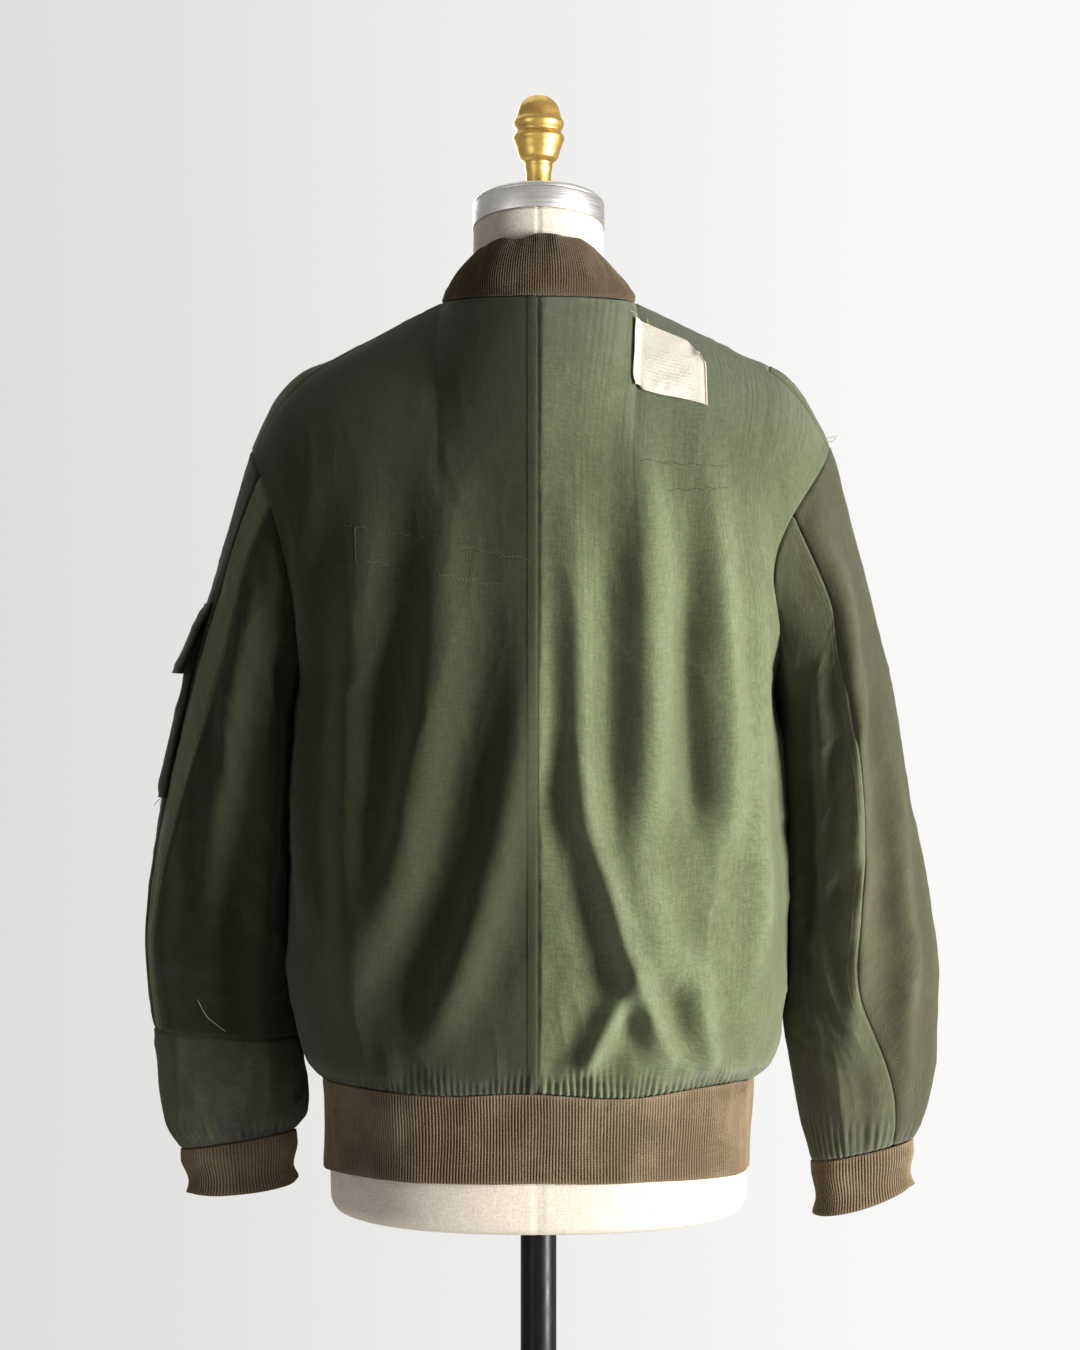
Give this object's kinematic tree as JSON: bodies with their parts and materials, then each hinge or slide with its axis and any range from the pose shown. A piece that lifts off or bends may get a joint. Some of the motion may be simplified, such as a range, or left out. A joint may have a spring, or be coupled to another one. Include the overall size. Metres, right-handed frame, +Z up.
{
  "type": "bomber jacket on dress form with stand",
  "caption": "Patchwork bomber jacket with ribbed collar, waistband and cuffs, filled out by a limbless dress form on a round-based pole.",
  "frame": {"origin": "centre of the stand base's underside, on the floor", "axes": "+Z up along the pole, -Y the garment's front, +Y its back, +X the wearer's left"},
  "size_m": [0.6861, 0.38, 1.7072],
  "materials": {
    "dark_olive_cloth": "worn matt cotton",
    "sage_cloth": "faded matt cotton",
    "grey_olive_cloth": "worn matt cotton",
    "faded_olive_cloth": "faded, stained cotton",
    "rib_knit": "matt rib knit",
    "label_cloth": "smooth cotton tape",
    "canvas": "plain linen canvas",
    "brushed_metal": "brushed",
    "gold_metal": "satin gilt",
    "black_paint": "satin black",
    "zip_metal": "aged"
  },
  "bodies": {
    "jacket_and_stand": {"back_left": "dark_olive_cloth", "back_right": "sage_cloth", "front_left": "dark_olive_cloth", "front_right": "sage_cloth", "shoulder_left": "sage_cloth", "shoulder_right": "sage_cloth", "shoulder_patch_right": "faded_olive_cloth", "sleeve_left_front": "dark_olive_cloth", "sleeve_left_strip": "grey_olive_cloth", "sleeve_left_back": "dark_olive_cloth", "sleeve_left_forearm": "faded_olive_cloth", "sleeve_right_front": "faded_olive_cloth", "sleeve_right_back": "faded_olive_cloth", "sleeve_pocket": "dark_olive_cloth", "sleeve_pocket_flap": "dark_olive_cloth", "waistband": "rib_knit", "collar": "rib_knit", "cuff_left": "rib_knit", "cuff_right": "rib_knit", "label": "label_cloth", "zip_chain": "zip_metal", "zip_slider": "zip_metal", "form_torso": "canvas", "neck_cap": "brushed_metal", "finial": "gold_metal", "pole": "black_paint", "base": "black_paint"},
    "pull_tab": {"zip_pull_tab": "zip_metal"}
  },
  "joints": [
    {"name": "pull_tab_hinge", "type": "hinge", "parent": "jacket_and_stand", "child": "pull_tab", "pos_m": [0, -0.10811, 1.43185], "axis": [-1, 0, 0], "range_deg": [0, 150]}
  ]
}
